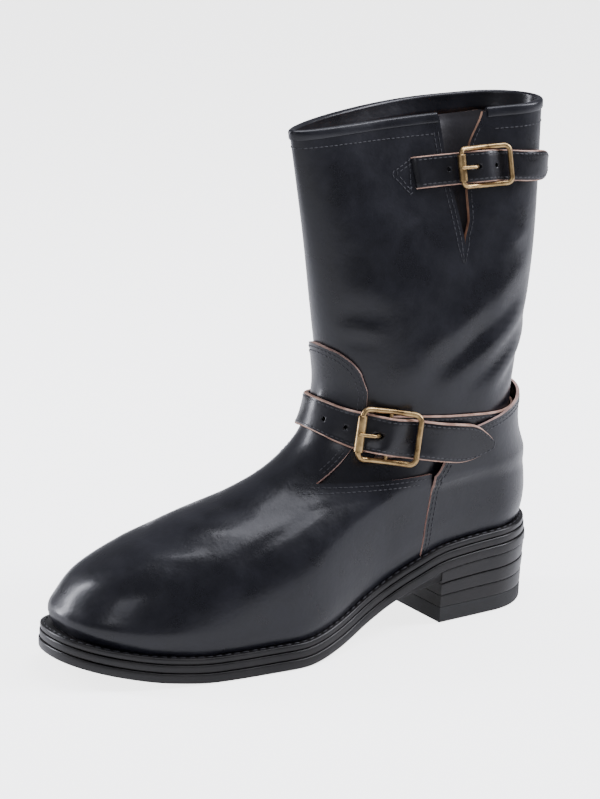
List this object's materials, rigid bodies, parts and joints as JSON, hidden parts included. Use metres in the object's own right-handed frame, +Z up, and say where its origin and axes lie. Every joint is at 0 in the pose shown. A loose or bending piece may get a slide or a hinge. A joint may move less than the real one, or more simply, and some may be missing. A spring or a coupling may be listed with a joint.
{
  "type": "engineer boot",
  "caption": "Left pull-on boot with a tall open shaft, buckled straps at collar and instep, a welted sole and a stacked heel.",
  "frame": {"origin": "on the floor under the middle of the heel, on the heel's flat face", "axes": "+Z up, -Y towards the toe, +X towards the outer side of the left foot"},
  "size_m": [0.1114, 0.3122, 0.2878],
  "materials": {
    "shaft_leather": "smooth black waxed leather, glossy",
    "strap_leather": "smooth black strap leather with raw pinkish tan edges",
    "sole_edge": "black dressed sole leather edge, satin",
    "heel_stack": "black dressed stacked leather, satin",
    "heel_rubber": "matt black rubber",
    "insole_leather": "natural vegetable tanned leather, matt",
    "gusset_suede": "dark brown suede",
    "buckle_brass": "antique brass, satin"
  },
  "bodies": {
    "root": {"outsole": "sole_edge", "midsole": "sole_edge", "welt": "sole_edge", "heel_lift_1": "heel_stack", "heel_lift_2": "heel_stack", "heel_lift_3": "heel_stack", "heel_top_piece": "heel_rubber", "insole": "insole_leather", "upper": "shaft_leather", "vamp": "shaft_leather", "heel_counter": "shaft_leather", "back_stay": "shaft_leather", "collar_binding": "shaft_leather", "gusset": "gusset_suede", "top_strap": "strap_leather", "top_buckle_strap": "strap_leather", "instep_strap": "strap_leather", "heel_strap": "strap_leather", "top_buckle_frame": "buckle_brass", "top_buckle_roller": "buckle_brass", "top_buckle_prong": "buckle_brass", "instep_buckle_frame": "buckle_brass", "instep_buckle_roller": "buckle_brass", "instep_buckle_prong": "buckle_brass"}
  },
  "joints": []
}
